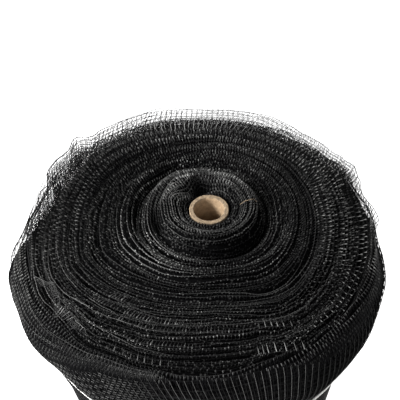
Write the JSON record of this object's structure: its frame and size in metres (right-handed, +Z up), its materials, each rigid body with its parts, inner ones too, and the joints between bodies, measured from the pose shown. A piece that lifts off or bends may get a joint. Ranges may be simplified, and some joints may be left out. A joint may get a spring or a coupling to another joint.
{
  "type": "roll of pond netting",
  "caption": "Roll of black knitted pond netting wound on a cardboard core and tied with a white cord, standing on its end.",
  "frame": {"origin": "on the floor, under the middle of the roll's outline", "axes": "+Z up along the core, -Y towards the side that the picture shows nearest"},
  "size_m": [0.4638, 0.4672, 0.9991],
  "materials": {
    "black_net": "black knitted plastic yarn, slightly glossy",
    "cardboard_core": "matt tan cardboard in wound layers",
    "white_cord": "white twisted cord"
  },
  "bodies": {
    "root": {"net_roll": "black_net", "core_tube": "cardboard_core", "tie_cord": "white_cord"}
  },
  "joints": []
}
